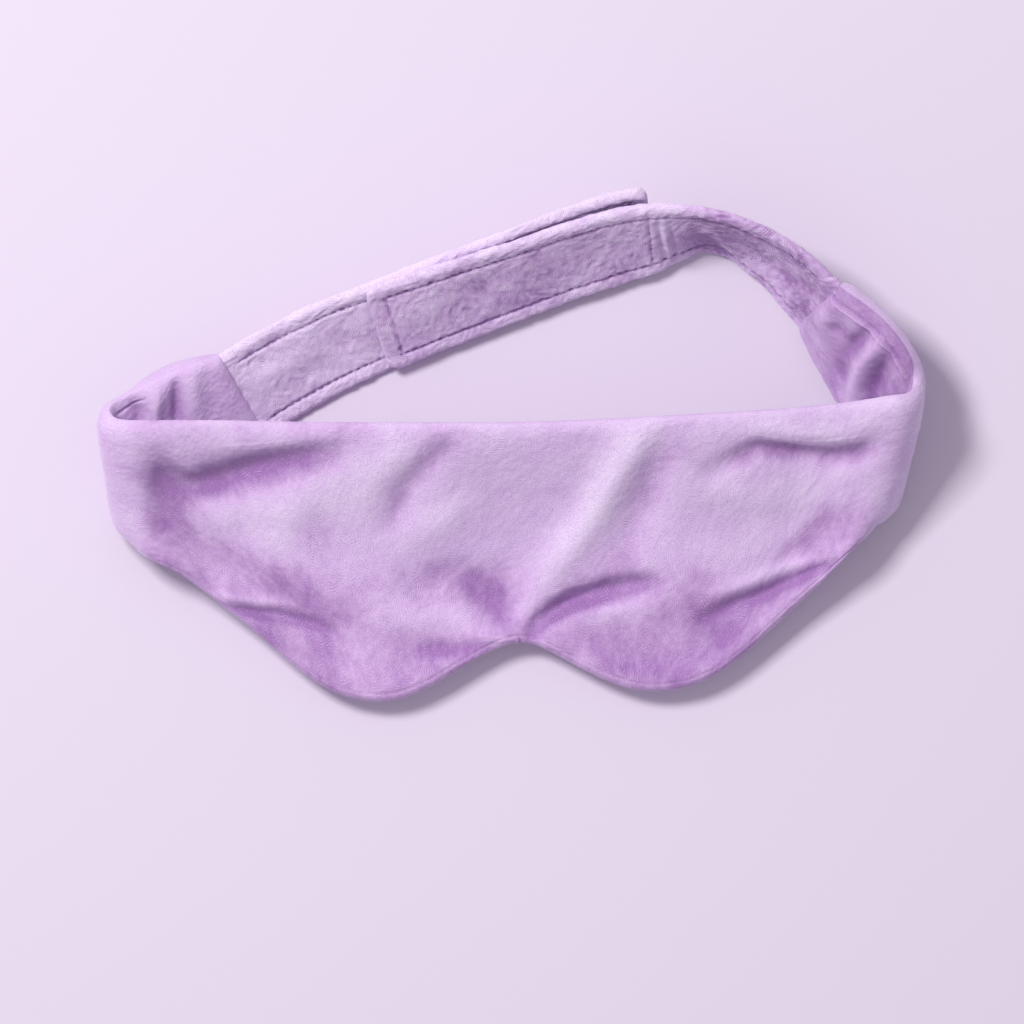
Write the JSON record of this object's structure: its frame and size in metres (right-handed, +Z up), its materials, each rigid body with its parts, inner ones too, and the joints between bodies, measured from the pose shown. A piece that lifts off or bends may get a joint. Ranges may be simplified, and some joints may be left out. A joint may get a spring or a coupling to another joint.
{
  "type": "padded sleep mask",
  "caption": "Plush padded sleep mask with two eye lobes, curled wings and a wrap-around strap closed by a hook-and-loop overlap.",
  "frame": {"origin": "under the middle of the closed mask as it lies on a table, at table height", "axes": "+X along the band towards the closure tab's own wing, +Y from the nose notch towards the strap, +Z up from the table"},
  "size_m": [0.275, 0.1694, 0.0413],
  "materials": {
    "plush": "short pile plush, lilac",
    "lining_plush": "short pile plush, lilac",
    "wadding": "polyester wadding",
    "bead_pocket": "calico",
    "hook_tape": "woven nylon hook tape",
    "loop_tape": "brushed nylon loop tape",
    "thread": "sewing thread"
  },
  "bodies": {
    "mask": {"front_cover": "plush", "face_lining": "lining_plush", "wadding_sheet": "wadding", "bead_pocket_left_outer": "bead_pocket", "bead_pocket_left_inner": "bead_pocket", "bead_pocket_right_inner": "bead_pocket", "bead_pocket_right_outer": "bead_pocket", "nose_tack": "thread"},
    "left_bend": {"left_bend_cover": "plush", "left_bend_lining": "lining_plush"},
    "left_wing": {"left_wing_cover": "plush", "left_wing_lining": "lining_plush", "left_wing_wadding": "wadding", "left_strap_outer_ply": "plush", "left_strap_skin_ply": "lining_plush", "hook_patch": "hook_tape", "left_strap_stitching": "thread", "hook_patch_stitching": "thread"},
    "right_bend": {"right_bend_cover": "plush", "right_bend_lining": "lining_plush"},
    "right_wing": {"right_wing_cover": "plush", "right_wing_lining": "lining_plush", "right_wing_wadding": "wadding", "right_strap_outer_ply": "plush", "right_strap_skin_ply": "lining_plush", "right_strap_stitching": "thread"},
    "closure_tab": {"closure_tab_outer_ply": "plush", "closure_tab_skin_ply": "lining_plush", "loop_patch": "loop_tape", "patch_stitching": "thread"}
  },
  "joints": [
    {"name": "left_bend_open", "type": "hinge", "parent": "mask", "child": "left_bend", "pos_m": [-0.13209, -0.01406, 0.02744], "axis": [-0.1096, 0.802, 0.5871], "range_deg": [0, 80]},
    {"name": "left_wing_open", "type": "hinge", "parent": "left_bend", "child": "left_wing", "pos_m": [-0.13469, -0.00664, 0.01619], "axis": [-0.1197, 0.8307, 0.5437], "range_deg": [0, 80]},
    {"name": "right_bend_open", "type": "hinge", "parent": "mask", "child": "right_bend", "pos_m": [0.12996, -0.00811, 0.02769], "axis": [-0.107, -0.8395, -0.5327], "range_deg": [0, 68]},
    {"name": "right_wing_open", "type": "hinge", "parent": "right_bend", "child": "right_wing", "pos_m": [0.13565, -0.00442, 0.02038], "axis": [-0.1278, -0.853, -0.506], "range_deg": [0, 68]},
    {"name": "closure_peel", "type": "hinge", "parent": "right_wing", "child": "closure_tab", "pos_m": [0.04736, 0.06674, 0.01907], "axis": [-0.0488, 0.5858, 0.809], "range_deg": [0, 70]}
  ],
  "couplings": [
    {"joint": "left_wing_open", "follows": "left_bend_open", "ratio": 1},
    {"joint": "right_bend_open", "follows": "left_bend_open", "ratio": 0.85},
    {"joint": "right_wing_open", "follows": "left_bend_open", "ratio": 0.85},
    {"joint": "closure_peel", "follows": "left_bend_open", "ratio": 0.875}
  ]
}
